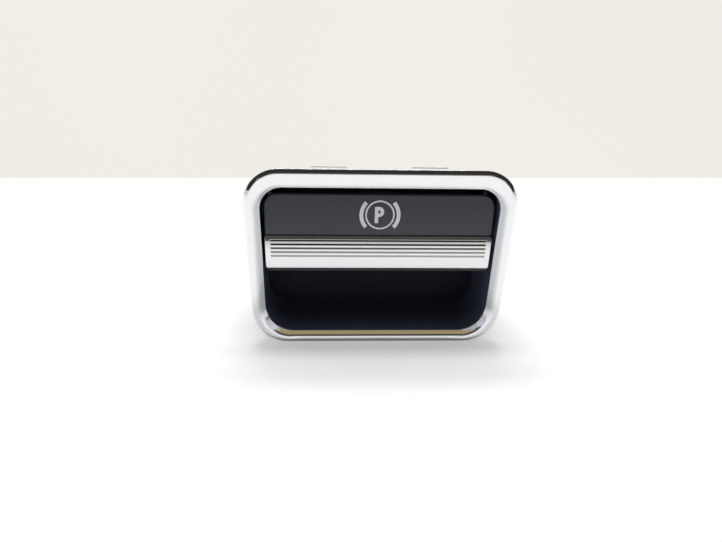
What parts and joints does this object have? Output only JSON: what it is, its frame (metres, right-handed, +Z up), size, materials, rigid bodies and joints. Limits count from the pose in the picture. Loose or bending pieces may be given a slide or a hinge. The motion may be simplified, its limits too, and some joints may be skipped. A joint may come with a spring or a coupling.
{
  "type": "parking brake switch",
  "caption": "Dashboard parking brake switch: bright trapezoid bezel, sprung pull-and-push handle with a brake symbol and ribbed strip over a finger pocket, wiring socket behind.",
  "frame": {"origin": "middle of the panel seat, the back face of the housing's flange", "axes": "+Z up, -Y towards the driver, +Y to the wiring side, +X to the right as the driver sees it"},
  "size_m": [0.0652, 0.041, 0.0435],
  "materials": {
    "chrome_plated_abs": "polished chrome plate on ABS",
    "black_housing_plastic": "fine grained black moulding",
    "satin_dark_paint": "satin dark grey soft paint",
    "symbol_grey": "light grey translucent inlay",
    "satin_metal_strip": "satin metal finish",
    "carrier_plastic": "dark grey moulding",
    "clear_polycarbonate": "clear moulding",
    "ground_steel": "ground steel",
    "white_acetal": "natural acetal",
    "grey_pbt": "grey moulding",
    "spring_bronze": "bare spring bronze",
    "gold_plate": "gold plated",
    "green_board": "solder resist",
    "chip_black": "moulded package",
    "lamp_white": "lamp body",
    "black_connector_plastic": "black moulding",
    "tinned_pin": "tinned brass",
    "zinc_screw": "zinc plated",
    "spring_steel": "spring steel",
    "clip_steel": "dark spring steel",
    "black_rubber": "soft rubber"
  },
  "bodies": {
    "housing": {"bezel_frame": "chrome_plated_abs", "front_housing": "black_housing_plastic", "rear_housing": "black_housing_plastic", "hinge_bush_left": "white_acetal", "hinge_bush_right": "white_acetal", "slider_guide": "grey_pbt", "wiper_tracks": "gold_plate", "circuit_board": "green_board", "control_chip": "chip_black", "small_parts": "chip_black", "symbol_lamp": "lamp_white", "connector_shroud": "black_connector_plastic", "connector_pins": "tinned_pin", "housing_screws": "zinc_screw", "board_screws": "zinc_screw", "upper_springs": "spring_steel", "lower_springs": "spring_steel", "push_stop_pads": "black_rubber", "pull_stop_pads": "black_rubber", "retaining_clip_left": "clip_steel", "retaining_clip_right": "clip_steel"},
    "handle": {"handle_cap": "satin_dark_paint", "brake_symbol": "symbol_grey", "pull_strip": "satin_metal_strip", "handle_carrier": "carrier_plastic", "light_guide": "clear_polycarbonate", "hinge_pins": "ground_steel"},
    "slider": {"contact_slider": "white_acetal", "slider_contacts": "spring_bronze"}
  },
  "joints": [
    {"name": "handle_rock", "type": "hinge", "parent": "housing", "child": "handle", "pos_m": [0, 0.007, 0.01], "axis": [1, 0, 0], "range_deg": [-7, 5], "stiffness_Nm_per_rad": 0.9, "deforming": ["upper_springs", "lower_springs"]},
    {"name": "slider_lift", "type": "slide", "parent": "housing", "child": "slider", "axis": [0, 0, 1], "range_m": [-0.0014, 0.001]}
  ],
  "couplings": [
    {"joint": "slider_lift", "follows": "handle_rock", "m_per_rad": 0.011}
  ]
}
